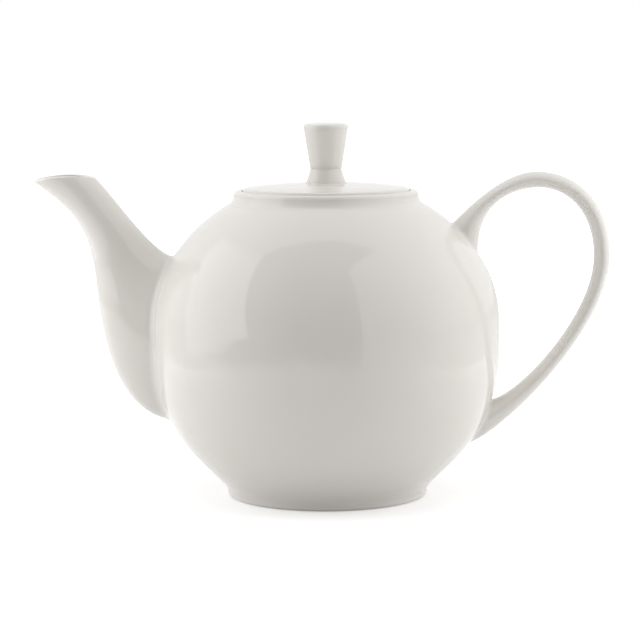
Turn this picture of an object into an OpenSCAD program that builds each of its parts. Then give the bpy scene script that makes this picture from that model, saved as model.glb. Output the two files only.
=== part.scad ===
// Porcelain teapot with a drop-in lid, in millimetres.
// The pot stands on z = 0, its axis is Z, the spout points along -X and the handle along +X.

/* [Body] */
// Widest diameter of the belly
body_d = 144; // [132:1:160]
// Thickness of the cast wall
wall = 3.6; // [2.8:0.1:4.4]
// Thickness of the floor of the pot
floor_t = 3.8; // [3:0.1:6]
// Radius of the almost straight flank above the foot
flank_r = 354; // [250:2:500]
// Radius of the lower belly curve
low_belly_r = 62.4; // [58:0.2:66]
// Angle that the lower belly curve turns through, in degrees
low_belly_turn = 44.3; // [40:0.1:47]
// Height of the straight band round the widest part
belly_band_h = 12.9; // [6:0.1:20]
// Radius of the upper belly curve
high_belly_r = 50.3; // [46:0.1:54]
// Angle that the upper belly curve turns through, in degrees
high_belly_turn = 33.6; // [30:0.1:37]
// Radius of the shoulder curve
shoulder_r = 68.8; // [62:0.2:80]

/* [Foot ring] */
// Largest diameter of the foot ring
foot_d = 84; // [78:0.5:90]
// Diameter over which the foot ring touches the table
foot_rest_d = 80.6; // [74:0.2:82]
// Width of the band that touches the table
foot_rest_w = 2.2; // [1.6:0.1:3]
// Bevel along the inside of that band
foot_bevel = 0.6; // [0.3:0.1:1]
// Height of the foot ring
foot_h = 3.4; // [2.6:0.1:4.6]
// Width of the foot ring
foot_w = 5; // [4:0.1:7]
// Depth of the groove between the foot ring and the body
foot_groove = 0.8; // [0.4:0.1:1.2]
// Height of the glazed underside above the table
recess_h = 6; // [5.4:0.1:8]
// How far the recess draws in towards its top
recess_draft = 1; // [0.5:0.1:2]

/* [Rim] */
// Outer diameter of the collar where it leaves the shoulder
collar_d = 76.6; // [72:0.2:80]
// Height of the collar from the shoulder to the rim
collar_h = 4.8; // [4.2:0.1:7]
// Radius of the hollow between shoulder and collar
collar_fillet = 1.8; // [1:0.1:2.4]
// Depth of the lid seat below the rim
seat_depth = 1; // [0.8:0.1:1.6]
// Inner diameter of the seat, which is the mouth of the pot
mouth_d = 63; // [58:0.2:65]
// Width of the rim round the lid
rim_w = 3.1; // [2.6:0.1:5]
// Rounding of the outer rim edge
rim_round = 1.7; // [1:0.1:1.9]
// Rounding of the inner rim edge, above the seat
seat_round = 0.8; // [0.4:0.1:0.8]

/* [Strainer] */
// Diameter of each strainer hole behind the spout
strainer_hole_d = 4; // [3:0.1:4.4]
// Distance between neighbouring strainer holes
strainer_pitch = 7.4; // [6.4:0.1:8]
// Number of holes in the middle row of the strainer
strainer_count = 5; // [3:1:5]

/* [Lid] */
// Diameter of the lid disc
lid_d = 69.2; // [67:0.2:70.4]
// Thickness of the lid disc at its edge
lid_t = 3.4; // [3:0.1:5]
// Rise of the lid from its edge to the knob
lid_crown = 0.9; // [0.4:0.1:3]
// Rounding of the upper edge of the lid
lid_round = 1.3; // [0.8:0.1:1.4]
// Rounding of the lower edge of the lid
lid_under_round = 0.9; // [0.4:0.1:1.2]
// Gap all round between the lid disc and the rim
lid_gap = 0.6; // [0.3:0.1:1]
// Diameter of the steam vent
vent_d = 3; // [2.5:0.1:4]
// Distance of the steam vent from the middle of the lid
vent_offset = 20; // [14:0.5:22]
// Depth of the flange below the lid disc
flange_depth = 13; // [8:0.5:18]
// Thickness of the flange
flange_t = 2.6; // [2:0.1:3.4]
// Gap all round between the flange and the mouth
flange_gap = 0.7; // [0.4:0.1:1.2]

/* [Knob] */
// Height of the knob above the lid
knob_h = 25.2; // [18:0.2:34]
// Diameter of the knob where it meets the lid
knob_base_d = 16.4; // [15:0.2:20]
// Diameter of the knob at its waist
knob_waist_d = 13.4; // [11:0.2:14.4]
// Height of the waist above the lid
knob_waist_h = 6.2; // [5:0.1:9]
// Diameter of the knob at its top
knob_top_d = 18.4; // [16:0.2:22]
// Rounding of the top edge of the knob
knob_round = 1.5; // [0.8:0.1:2.4]
// Rise of the knob's top from its edge to the middle
knob_crown = 0.5; // [0.2:0.1:1.5]
// Width of the level pad on the lid round the knob
knob_pad = 0.6; // [0.3:0.1:2]

/* [Spout] */
// Height above the table where the underside of the spout leaves the body
spout_low_z = 31.6; // [28:0.2:38]
// Height above the table where the top of the spout leaves the body
spout_high_z = 100.3; // [92:0.1:104]
// Distance of the pouring tip beyond the belly
spout_reach = 49; // [42:0.2:58]
// Height of the pouring tip above the rim
spout_rise = 4.6; // [2:0.1:12]
// Length of the mouth of the spout
spout_mouth_l = 25.4; // [22:0.2:30]
// Height of the back of the mouth above the tip
spout_mouth_tilt = 2.6; // [0:0.1:5]
// Width of the mouth of the spout
spout_mouth_w = 20; // [17:0.2:24]
// Width of the neck of the spout
spout_neck_w = 20.4; // [17:0.2:24]
// Width of the spout where it meets the body
spout_root_w = 30; // [26:0.5:36]
// Distance of the bend in the underside beyond the belly
spout_bend_out = 23.6; // [20:0.2:28]
// Height of the bend above the lower end of the root
spout_bend_h = 55; // [48:0.5:60]
// Thickness of the wall of the spout
spout_wall = 3; // [2.2:0.1:3.6]
// Direction in which both sides leave the body, in degrees from +X
spout_root_turn = 172; // [165:1:178]
// Direction of the underside at the bend, in degrees
spout_bend_turn = 95; // [88:1:102]
// Direction of the underside at the tip, in degrees
spout_tip_turn = 145; // [138:1:152]
// Direction of the top at the mouth, in degrees
spout_back_turn = 136; // [130:1:142]
// Fullness of the underside next to the body
spout_root_pull = 22; // [18:0.5:26]
// Fullness of the underside below the bend
spout_belly_pull = 22; // [18:0.5:26]
// Fullness of the underside above the bend
spout_bend_pull = 24; // [20:0.5:28]
// Fullness of the underside next to the tip
spout_tip_pull = 23; // [19:0.5:27]
// Fullness of the top next to the body
spout_over_pull = 9; // [7:0.5:12]
// Fullness of the top next to the mouth
spout_back_pull = 10; // [8:0.5:13]

/* [Handle] */
// Distance of the outside of the handle beyond the belly
handle_reach = 46; // [38:0.1:54]
// Height of the top of the handle above the rim
handle_rise = 7.8; // [4:0.1:14]
// Distance from the belly to the highest point of the handle
handle_crest_out = 15.5; // [12:0.1:20]
// Height from the outermost point of the handle up to its top
handle_drop = 35.6; // [28:0.2:40]
// Thickness of the handle, seen from the side
handle_t = 6.6; // [5:0.1:8.4]
// Width of the handle, seen from the end
handle_w = 11.6; // [9:0.1:15]
// Width of both roots of the handle
handle_root_w = 17; // [15.5:0.1:21]
// Height above the table where the outside of the upper root meets the body
handle_high_z = 113.4; // [110:0.2:117]
// Height of the upper root along the body
handle_high_root = 14.2; // [11:0.2:16]
// Height above the table where the outside of the lower root meets the body
handle_low_z = 21.2; // [18:0.2:26]
// Height of the lower root along the body
handle_low_root = 18.2; // [14:0.2:21]
// Distance by which the crest of the inside lies further out than that of the outside
handle_crest_shift = 0.7; // [0:0.1:2]
// Direction in which the outside leaves the upper root, in degrees from +X
handle_high_turn = 45; // [40:1:52]
// Direction in which the inside leaves the upper root, in degrees
handle_under_turn = 92; // [86:1:98]
// Direction in which both sides reach the lower root, in degrees
handle_low_turn = 185; // [180:1:190]
// Fullness of the outside next to the upper root
handle_high_pull = 9; // [7:0.5:12]
// Fullness of the outside on both sides of the crest
handle_crest_pull = 14; // [11:0.5:17]
// Fullness of the outside above the outermost point
handle_side_pull = 26; // [22:0.5:30]
// Fullness of the outside below the outermost point
handle_back_pull = 31.6; // [28:0.2:36]
// Fullness of the outside next to the lower root
handle_low_pull = 10.7; // [8:0.1:13]
// Fullness of the inside next to the upper root
grip_high_pull = 21.8; // [18:0.2:25]
// Fullness of the inside before the crest
grip_rise_pull = 9.5; // [8:0.5:12]
// Fullness of the inside after the crest
grip_crest_pull = 11; // [9:0.5:14]
// Fullness of the inside above the outermost point
grip_side_pull = 20; // [17:0.5:23]
// Fullness of the inside below the outermost point
grip_back_pull = 24.8; // [21:0.2:28]
// Fullness of the inside next to the lower root
grip_low_pull = 10.8; // [8:0.1:13]

/* [Hidden] */
$fn = 96;

glaze = [0.93, 0.92, 0.90];
cut = 1;              // how far a cutting shape runs past the face it cuts
bury = 8;             // how far the ends of spout and handle reach in before they are trimmed
arc_step = 4;         // degrees between points of an arc in an outline
tube_sides = 28;      // sides of the swept tubes
spout_steps = 26;     // rings along the spout
handle_steps = 48;    // rings along the handle
neck_at = 0.62;       // share of the spout's length at which it has narrowed to its neck
top_lag = 1.8;        // how much closer the rings lie to the root along the top than along the underside
root_share = 1 / 6;   // share of the handle's length over which each root narrows

// Places that follow from the driving dimensions
body_r = body_d / 2;
body_foot_r = foot_d / 2 - foot_groove;
collar_r = collar_d / 2;
neck_r = collar_r + collar_fillet;

// Centres of the four outline arcs, across and up from the end of their neighbour
low_cx = body_r - low_belly_r;
flank_cx = low_cx + (low_belly_r - flank_r) * cos(low_belly_turn);
flank_end = acos((body_foot_r - flank_cx) / flank_r);
belly_low_z = foot_h + (low_belly_r - flank_r) * sin(low_belly_turn) + flank_r * sin(flank_end);
flank_cz = belly_low_z - (low_belly_r - flank_r) * sin(low_belly_turn);
belly_high_z = belly_low_z + belly_band_h;
high_cx = body_r - high_belly_r;
shoulder_cx = high_cx + (high_belly_r - shoulder_r) * cos(high_belly_turn);
shoulder_cz = belly_high_z + (high_belly_r - shoulder_r) * sin(high_belly_turn);
neck_end = acos((neck_r - shoulder_cx) / shoulder_r);
neck_z = shoulder_cz + shoulder_r * sin(neck_end);

rim_z = neck_z + collar_h;
seat_z = rim_z - seat_depth;
mouth_r = mouth_d / 2;
lid_r = lid_d / 2;
seat_r = lid_r + lid_gap;
rim_r = seat_r + rim_w;
lid_edge_z = seat_z + lid_t;
lid_top_z = lid_edge_z + lid_crown;
knob_pad_r = knob_base_d / 2 + knob_pad;
flange_r = mouth_r - flange_gap;
knob_top_z = lid_top_z + knob_h;
inner_floor_z = recess_h + floor_t;

// Points of an arc about [cx, cz], from angle a to angle b
function arc(cx, cz, r, a, b) =
    let (n = max(2, ceil(abs(b - a) / arc_step)))
    [for (i = [0:n]) [cx + r * cos(a + (b - a) * i / n), cz + r * sin(a + (b - a) * i / n)]];

// Radius of the outline at height z, a distance t inside the outer surface
function flank_at(z, t) = flank_cx + sqrt(pow(flank_r - t, 2) - pow(z - flank_cz, 2));
function low_at(z, t) = low_cx + sqrt(pow(low_belly_r - t, 2) - pow(z - belly_low_z, 2));
function high_at(z, t) = high_cx + sqrt(pow(high_belly_r - t, 2) - pow(z - belly_high_z, 2));
function shoulder_at(z, t) = shoulder_cx + sqrt(pow(shoulder_r - t, 2) - pow(z - shoulder_cz, 2));
function body_r_at(z, t = 0) =
    z < belly_low_z - (low_belly_r - t) * sin(low_belly_turn) ? flank_at(z, t)
    : z < belly_low_z ? low_at(z, t)
    : z < belly_high_z ? body_r - t
    : z < belly_high_z + (high_belly_r - t) * sin(high_belly_turn) ? high_at(z, t)
    : shoulder_at(z, t);

// Outline of the body between two heights, a distance t inside the outer surface
function body_line(low_z, high_z, t) = concat(
    arc(flank_cx, flank_cz, flank_r - t, asin((low_z - flank_cz) / (flank_r - t)), -low_belly_turn),
    arc(low_cx, belly_low_z, low_belly_r - t, -low_belly_turn + arc_step, 0),
    arc(high_cx, belly_high_z, high_belly_r - t, 0, high_belly_turn),
    arc(shoulder_cx, shoulder_cz, shoulder_r - t, high_belly_turn + arc_step,
        asin((high_z - shoulder_cz) / (shoulder_r - t))));

// Point of a cubic curve from p to q, leaving along angle a and arriving along angle b
function curve(p, a, pull_p, q, b, pull_q, t) =
    let (c = p + pull_p * [cos(a), sin(a)], d = q - pull_q * [cos(b), sin(b)])
    pow(1 - t, 3) * p + 3 * pow(1 - t, 2) * t * c + 3 * (1 - t) * t * t * d + pow(t, 3) * q;

// Eases from 0 to 1 as t goes from 0 to 1
function ease(t) = let (u = min(1, max(0, t))) u * u * (3 - 2 * u);

// One oval ring across the points low and high of a side outline, w wide, thinned by t all round
function ring(low, high, w, t) =
    let (mid = (low + high) / 2, span = norm(high - low) / 2, dir = (high - low) / norm(high - low))
    [for (i = [0:tube_sides - 1])
        let (a = 360 * i / tube_sides, p = mid + (span - t) * cos(a) * dir)
        [p[0], (w / 2 - t) * sin(a), p[1]]];

// A closed tube through a list of rings
module tube(rings) {
    n = tube_sides;
    last = len(rings) - 1;
    sides = [for (k = [0:last - 1], i = [0:n - 1])
        let (a = k * n + i, b = k * n + (i + 1) % n)
        each [[a, a + n, b], [b, a + n, b + n]]];
    first_cap = [for (i = [0:n - 1]) i];
    last_cap = [for (i = [0:n - 1]) last * n + n - 1 - i];
    polyhedron(points = [for (r = rings) each r], faces = concat(sides, [first_cap, last_cap]));
}

// The whole body, without its hollow, as a cutter for what is luted onto it
module body_outline() {
    rotate_extrude()
        polygon(concat([[0, foot_h]], body_line(foot_h, neck_z, 0), [[0, neck_z]]));
}

module pot_body() {
    hollow = body_line(inner_floor_z, neck_z, wall);
    color(glaze) difference() {
        rotate_extrude() polygon(concat(
            [[0, recess_h], [foot_d / 2 - foot_w - recess_draft, recess_h], [foot_d / 2 - foot_w, foot_h]],
            body_line(foot_h, neck_z, 0),
            [for (i = [len(hollow) - 1:-1:0]) hollow[i]],
            [[0, inner_floor_z]]));
        strainer_holes();
        translate([0, 0, neck_z - flange_depth])
            cylinder(r = mouth_r, h = flange_depth + cut);
    }
}

module strainer_holes() {
    mid_z = (spout_low_z + spout_high_z) / 2;
    row_gap = strainer_pitch * sin(60);
    for (row = [-1:1]) {
        count = strainer_count - abs(row);
        for (i = [0:count - 1])
            translate([-body_r - cut, row * row_gap, mid_z + (i - (count - 1) / 2) * strainer_pitch])
                rotate([0, 90, 0])
                    cylinder(d = strainer_hole_d, h = 2 * wall + 2 * cut);
    }
}

// Outside of the foot from where it rests up to its lip, rounded whether it draws in or splays out
function foot_side(rest_r, flare, lip_z) =
    [for (a = [0:15:90]) flare > 0
        ? [rest_r + flare * sin(a), lip_z * (1 - cos(a))]
        : [rest_r + flare * (1 - cos(a)), lip_z * sin(a)]];

module foot_ring() {
    inner_r = foot_d / 2 - foot_w;
    lip_z = foot_h - foot_groove;
    rest_r = foot_rest_d / 2;
    rest_inner_r = rest_r - foot_rest_w;
    color(glaze) rotate_extrude() polygon(concat(
        [[inner_r, foot_h], [rest_inner_r - foot_bevel, foot_bevel], [rest_inner_r, 0]],
        foot_side(rest_r, foot_d / 2 - rest_r, lip_z),
        [for (a = [15:15:90]) [foot_d / 2 - foot_groove * (1 - cos(a)), lip_z + foot_groove * sin(a)]]));
}

module rim_collar() {
    outer_round = min(rim_round, rim_w - seat_round);
    inner_round = min(seat_round, seat_depth);
    color(glaze) rotate_extrude() polygon(concat(
        [[mouth_r, neck_z]],
        arc(neck_r, neck_z + collar_fillet, collar_fillet, -90, -180),
        arc(rim_r - outer_round, rim_z - outer_round, outer_round, 0, 90),
        arc(seat_r + inner_round, rim_z - inner_round, inner_round, 90, 180),
        [[seat_r, seat_z], [mouth_r, seat_z]]));
}

// Side outlines of the spout, t from 0 at the body to 1 at the mouth
spout_tip = [-body_r - spout_reach, rim_z + spout_rise];
spout_back = spout_tip + [spout_mouth_l, spout_mouth_tilt];
spout_low = [-body_r_at(spout_low_z), spout_low_z];
spout_high = [-body_r_at(spout_high_z), spout_high_z];
spout_bend = [-body_r - spout_bend_out, spout_low_z + spout_bend_h];
function spout_under(t) = t < 0.5
    ? curve(spout_low, spout_root_turn, spout_root_pull,
            spout_bend, spout_bend_turn, spout_belly_pull, 2 * t)
    : curve(spout_bend, spout_bend_turn, spout_bend_pull,
            spout_tip, spout_tip_turn, spout_tip_pull, 2 * t - 1);
function spout_over(t) =
    curve(spout_high, spout_root_turn, spout_over_pull,
          spout_back, spout_back_turn, spout_back_pull, pow(t, top_lag));
function spout_w(t) =
    spout_root_w + (spout_neck_w - spout_root_w) * ease(t / neck_at)
    + (spout_mouth_w - spout_neck_w) * ease(2 * t - 1);

// The spout thinned by t all round, both of its ends run_out longer
module spout_sweep(t, run_out) {
    n = spout_steps;
    rings = [for (i = [0:n]) ring(spout_under(i / n), spout_over(i / n), spout_w(i / n), t)];
    root = [for (p = rings[0]) p + [bury + run_out, 0, 0]];
    mouth = [for (p = rings[n]) p + [0, 0, run_out]];
    tube(run_out > 0 ? concat([root], rings, [mouth]) : concat([root], rings));
}

module spout() {
    color(glaze) difference() {
        spout_sweep(0, 0);
        spout_sweep(spout_wall, cut);
        body_outline();
    }
}

// Side outlines of the handle, t from 0 at the upper root to 1 at the lower root
handle_x = body_r + handle_reach;
handle_top_z = rim_z + handle_rise;
handle_crest_x = body_r + handle_crest_out;
handle_side_z = handle_top_z - handle_drop;
handle_high_end = handle_high_z - handle_high_root;
handle_low_start = handle_low_z + handle_low_root;
handle_side = [handle_x, handle_side_z];
handle_crest = [handle_crest_x, handle_top_z];
handle_high = [body_r_at(handle_high_z), handle_high_z];
handle_low = [body_r_at(handle_low_z), handle_low_z];
grip_side = [handle_x - handle_t, handle_side_z];
grip_crest = [handle_crest_x + handle_crest_shift, handle_top_z - handle_t];
grip_high = [body_r_at(handle_high_end), handle_high_end];
grip_low = [body_r_at(handle_low_start), handle_low_start];
function handle_outer(t) =
    t < 1/3 ? curve(handle_high, handle_high_turn, handle_high_pull,
                    handle_crest, 0, handle_crest_pull, 3 * t)
    : t < 2/3 ? curve(handle_crest, 0, handle_crest_pull, handle_side, -90, handle_side_pull, 3 * t - 1)
    : curve(handle_side, -90, handle_back_pull, handle_low, handle_low_turn, handle_low_pull, 3 * t - 2);
function handle_inner(t) =
    t < 1/3 ? curve(grip_high, handle_under_turn, grip_high_pull, grip_crest, 0, grip_rise_pull, 3 * t)
    : t < 2/3 ? curve(grip_crest, 0, grip_crest_pull, grip_side, -90, grip_side_pull, 3 * t - 1)
    : curve(grip_side, -90, grip_back_pull, grip_low, handle_low_turn, grip_low_pull, 3 * t - 2);
function handle_width(t) = handle_root_w + (handle_w - handle_root_w) * ease(min(t, 1 - t) / root_share);

module handle() {
    n = handle_steps;
    rings = [for (i = [0:n]) ring(handle_inner(i / n), handle_outer(i / n), handle_width(i / n), 0)];
    high_root = [for (p = rings[0]) p - [bury, 0, 0]];
    low_root = [for (p = rings[n]) p - [bury, 0, 0]];
    color(glaze) difference() {
        tube(concat([high_root], rings, [low_root]));
        body_outline();
    }
}

module lid_disc() {
    crown_r = lid_r - lid_round;
    color(glaze) difference() {
        rotate_extrude() polygon(concat(
            [[0, seat_z]],
            arc(lid_r - lid_under_round, seat_z + lid_under_round, lid_under_round, -90, 0),
            arc(crown_r, lid_edge_z - lid_round, lid_round, 0, 90),
            [for (i = [1:8]) let (r = crown_r + (knob_pad_r - crown_r) * i / 8)
                [r, lid_edge_z + lid_crown * ease((crown_r - r) / (crown_r - knob_pad_r))]],
            [[0, lid_top_z]]));
        translate([0, vent_offset, seat_z - cut])
            cylinder(d = vent_d, h = lid_t + lid_crown + 2 * cut);
    }
}

module lid_flange() {
    tip_round = flange_t / 3;
    low_z = seat_z - flange_depth;
    color(glaze) rotate_extrude() polygon(concat(
        [[flange_r - flange_t, seat_z]],
        arc(flange_r - flange_t + tip_round, low_z + tip_round, tip_round, 180, 270),
        arc(flange_r - tip_round, low_z + tip_round, tip_round, 270, 360),
        [[flange_r, seat_z]]));
}

module lid_knob() {
    base_r = knob_base_d / 2;
    waist_r = knob_waist_d / 2;
    top_r = knob_top_d / 2;
    waist_z = lid_top_z + knob_waist_h;
    color(glaze) rotate_extrude() polygon(concat(
        [[0, lid_top_z]],
        [for (i = [0:8]) [base_r + (waist_r - base_r) * sin(i * 90 / 8), lid_top_z + knob_waist_h * i / 8]],
        arc(top_r - knob_round, knob_top_z - knob_crown - knob_round, knob_round, -5, 90),
        [[top_r / 2, knob_top_z - knob_crown / 4], [0, knob_top_z]]));
}

pot_body();
foot_ring();
rim_collar();
spout();
handle();
lid_disc();
lid_flange();
lid_knob();
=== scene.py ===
"""A glazed porcelain teapot with a lift-off lid: lathed shell, luted spout and handle, plain studio."""
from functools import partial
from math import acos, atan2, ceil, cos, degrees, hypot, pi, radians, sin, sqrt

import bmesh
import bpy
from bpy.props import FloatProperty, FloatVectorProperty, IntProperty, PointerProperty
from bpy.types import Operator, Panel, PropertyGroup
from mathutils import Matrix, Vector


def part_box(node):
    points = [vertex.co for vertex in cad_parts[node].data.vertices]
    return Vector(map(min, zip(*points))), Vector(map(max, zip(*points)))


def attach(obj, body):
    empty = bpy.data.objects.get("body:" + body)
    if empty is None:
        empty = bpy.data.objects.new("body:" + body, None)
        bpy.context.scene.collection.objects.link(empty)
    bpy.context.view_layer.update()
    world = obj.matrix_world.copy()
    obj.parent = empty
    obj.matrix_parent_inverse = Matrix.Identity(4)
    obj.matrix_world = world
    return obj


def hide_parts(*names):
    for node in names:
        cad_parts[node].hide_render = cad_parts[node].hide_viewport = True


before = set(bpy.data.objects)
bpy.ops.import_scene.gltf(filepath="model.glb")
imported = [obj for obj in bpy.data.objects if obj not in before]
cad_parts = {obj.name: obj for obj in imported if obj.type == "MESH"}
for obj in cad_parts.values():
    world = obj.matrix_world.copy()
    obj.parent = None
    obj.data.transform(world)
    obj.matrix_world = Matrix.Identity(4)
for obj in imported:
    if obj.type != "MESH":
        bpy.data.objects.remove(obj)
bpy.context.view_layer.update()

bl_info = {
    "name": "Porcelain Teapot",
    "version": (1, 0, 0),
    "blender": (4, 5, 0),
    "location": "3D View > Sidebar > Teapot",
    "description": "Dresses the packed teapot in glazed porcelain and lights it in a plain studio",
    "category": "Add Mesh",
}

MM = 0.001

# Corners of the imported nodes, from which the sizes below take their defaults
SHELL_LOW, SHELL_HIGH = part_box("pot_body")
FOOT_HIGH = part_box("foot_ring")[1]
RIM_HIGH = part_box("rim_collar")[1]
SPOUT_LOW, SPOUT_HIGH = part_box("spout")
HANDLE_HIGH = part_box("handle")[1]
LID_LOW, LID_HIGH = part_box("lid_disc")
FLANGE_LOW, FLANGE_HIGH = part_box("lid_flange")
KNOB_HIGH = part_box("lid_knob")[1]


def length(name, default, description):
    """A size in metres that the user may change."""
    return FloatProperty(name=name, description=description, default=default, min=0.0, unit="LENGTH",
                         precision=5)


def turn(name, degrees, description):
    """An angle that the user may change, given in degrees."""
    return FloatProperty(name=name, description=description, default=radians(degrees), unit="ROTATION")


def share(name, default, description, top=1.0):
    """A plain number from 0 to top."""
    return FloatProperty(name=name, description=description, default=default, min=0.0, max=top)


def colour(name, default, description):
    """A linear colour that the user may change."""
    return FloatVectorProperty(name=name, description=description, default=default, size=3,
                               subtype="COLOR", min=0.0, max=1.0)


class TeapotBody(PropertyGroup):
    """Sizes of the pot's shell, foot and rim."""
    belly_r: length("Belly radius", SHELL_HIGH[0], "Radius at the widest part")
    wall: length("Wall", 3.6 * MM, "Thickness of the cast wall")
    foot_joint_z: length("Foot joint", FOOT_HIGH[2], "Height at which the shell meets the foot ring")
    foot_joint_r: length("Foot joint radius", 41.2 * MM, "Radius of the shell where it meets the foot ring")
    flank_r: length("Flank radius", 354 * MM, "Radius of the almost straight flank above the foot")
    low_r: length("Lower belly radius", 62.4 * MM, "Radius of the lower belly curve")
    low_turn: turn("Lower belly turn", 44.3, "Angle of the lower belly curve")
    band_h: length("Belly band", 12.9 * MM, "Height of the straight band round the belly")
    high_r: length("Upper belly radius", 50.3 * MM, "Radius of the upper belly curve")
    high_turn: turn("Upper belly turn", 33.6, "Angle of the upper belly curve")
    shoulder_r: length("Shoulder radius", 68.8 * MM, "Radius of the shoulder curve")
    foot_r: length("Foot radius", FOOT_HIGH[0], "Largest radius of the foot ring")
    foot_rest_r: length("Foot rest radius", 40.3 * MM, "Outer radius where the foot touches the table")
    foot_w: length("Foot width", 5 * MM, "Width of the foot ring")
    foot_blend_z: length("Foot blend", 7 * MM, "Height at which the flank starts to turn into the foot")
    recess_z: length("Recess", SHELL_LOW[2] + 2.6 * MM, "Height of the underside above the table")
    floor_z: length("Floor", 9.8 * MM, "Height of the inside floor above the table")
    neck_z: length("Neck height", SHELL_HIGH[2], "Height at which the collar starts")
    collar_r: length("Collar radius", 38.3 * MM, "Outer radius of the collar")
    collar_fillet: length("Collar fillet", 4.5 * MM, "Radius of the hollow under the collar")
    rim_z: length("Rim height", RIM_HIGH[2] + 0.6 * MM, "Height of the rim")
    seat_z: length("Seat height", LID_LOW[2], "Height of the ledge that carries the lid")
    seat_r: length("Seat radius", LID_HIGH[0] + 0.6 * MM, "Inner radius of the rim round the lid")
    mouth_r: length("Mouth radius", 31.5 * MM, "Radius of the mouth below the seat")
    hole_d: length("Strainer hole", 4 * MM, "Diameter of each strainer hole")
    hole_pitch: length("Strainer pitch", 7.4 * MM, "Distance between strainer holes")
    hole_row: IntProperty(name="Strainer row", description="Holes in the strainer's middle row", default=5,
                          min=3, max=5)
    segments: IntProperty(name="Segments", description="Facets round each lathed piece", default=256,
                          min=32, max=512)


class TeapotSpout(PropertyGroup):
    """Sizes of the spout."""
    low_z: length("Lower root", 31.6 * MM, "Height where the underside leaves the body")
    high_z: length("Upper root", 100.3 * MM, "Height where the top leaves the body")
    reach: length("Reach", -SPOUT_LOW[0] - SHELL_HIGH[0], "Distance of the tip beyond the belly")
    tip_z: length("Tip height", SPOUT_HIGH[2] - 2.9 * MM, "Height of the pouring tip")
    mouth_l: length("Mouth length", 25.4 * MM, "Length of the mouth")
    mouth_tilt: length("Mouth tilt", 1.6 * MM, "Height of the back of the mouth above the tip")
    mouth_arch: length("Mouth arch", 1.4 * MM, "Height by which the sides of the mouth arch up")
    mouth_w: length("Mouth width", 20 * MM, "Width of the mouth")
    lip_h: length("Lip", 0.6 * MM, "Height of the rounded lip round the mouth")
    tip_h: length("Tip", 0.9 * MM, "Extra height of the blunt end of the pouring tip")
    neck_w: length("Neck width", 20.4 * MM, "Width of the neck")
    root_w: length("Root width", 30 * MM, "Width where the spout meets the body")
    bend_out: length("Bend", 23.6 * MM, "Distance of the bend in the underside beyond the belly")
    bend_h: length("Bend height", 55 * MM, "Height of the bend above the lower root")
    wall: length("Spout wall", 3 * MM, "Thickness of the spout's wall")
    fillet: length("Slip fillet", 4.2 * MM, "Width of the slip that joins spout and body")


class TeapotHandle(PropertyGroup):
    """Sizes of the handle."""
    reach: length("Reach", HANDLE_HIGH[0] - SHELL_HIGH[0], "Distance of the handle beyond the belly")
    top_z: length("Top", HANDLE_HIGH[2], "Height of the top of the handle")
    crest_out: length("Crest", 15.5 * MM, "Distance from the belly to the highest point")
    drop: length("Drop", 35.6 * MM, "Height from the outermost point up to the top")
    thick: length("Thickness", 6.6 * MM, "Thickness seen from the side")
    width: length("Width", 11.6 * MM, "Width seen from the end")
    root_w: length("Root width", 17 * MM, "Width of both roots")
    high_z: length("Upper root", 113.4 * MM, "Height where the outside of the upper root meets the body")
    high_root: length("Upper root height", 12.2 * MM, "Height of the upper root along the body")
    low_z: length("Lower root", 21.2 * MM, "Height where the outside of the lower root meets the body")
    low_root: length("Lower root height", 18.2 * MM, "Height of the lower root along the body")
    fillet: length("Slip fillet", 2.4 * MM, "Width of the slip that joins handle and body")


class TeapotLid(PropertyGroup):
    """Sizes of the lid, its flange and its knob."""
    lid_r: length("Lid radius", LID_HIGH[0], "Radius of the lid")
    low_z: length("Underside", LID_LOW[2], "Height of the underside of the lid")
    top_z: length("Top", LID_HIGH[2], "Height of the lid at the knob")
    crown: length("Crown", 1.7 * MM, "Rise of the lid from edge to knob")
    edge_round: length("Edge rounding", 1.4 * MM, "Rounding of the upper edge")
    vent_d: length("Vent", 3 * MM, "Diameter of the steam vent")
    vent_y: length("Vent place", 20 * MM, "Distance of the vent from the middle")
    flange_r: length("Flange radius", FLANGE_HIGH[0], "Outer radius of the flange")
    flange_t: length("Flange thickness", 2.6 * MM, "Thickness of the flange")
    flange_z: length("Flange tip", FLANGE_LOW[2], "Height of the flange's lower edge")
    knob_top_z: length("Knob top", KNOB_HIGH[2], "Height of the top of the knob")
    knob_r: length("Knob radius", KNOB_HIGH[0], "Radius of the knob at its top")
    knob_base_r: length("Knob base", 8.2 * MM, "Radius of the knob where it meets the lid")
    knob_waist_r: length("Knob waist", 6.55 * MM, "Radius of the knob at its waist")
    knob_waist_h: length("Waist height", 6.1 * MM, "Height of the waist above the lid")
    knob_round: length("Knob rounding", 1.5 * MM, "Rounding of the knob's top edge")


class TeapotGlaze(PropertyGroup):
    """Look of the glaze and of the bare foot edge."""
    white: colour("Glaze", (0.800, 0.778, 0.742), "Colour of the glazed porcelain")
    pool: colour("Pooled glaze", (0.755, 0.742, 0.708), "Colour where the glaze gathers in a hollow")
    bare: colour("Bare porcelain", (0.70, 0.655, 0.585), "Colour of the ground foot edge")
    roughness: share("Roughness", 0.055, "Roughness of the glaze")
    ripple: share("Ripple", 0.11, "Strength of the slow waviness in the glaze")
    peel: share("Orange peel", 0.02, "Strength of the fine texture in the glaze")
    bare_z: length("Bare edge", 0.5 * MM, "Height up to which the foot is ground bare")


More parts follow.
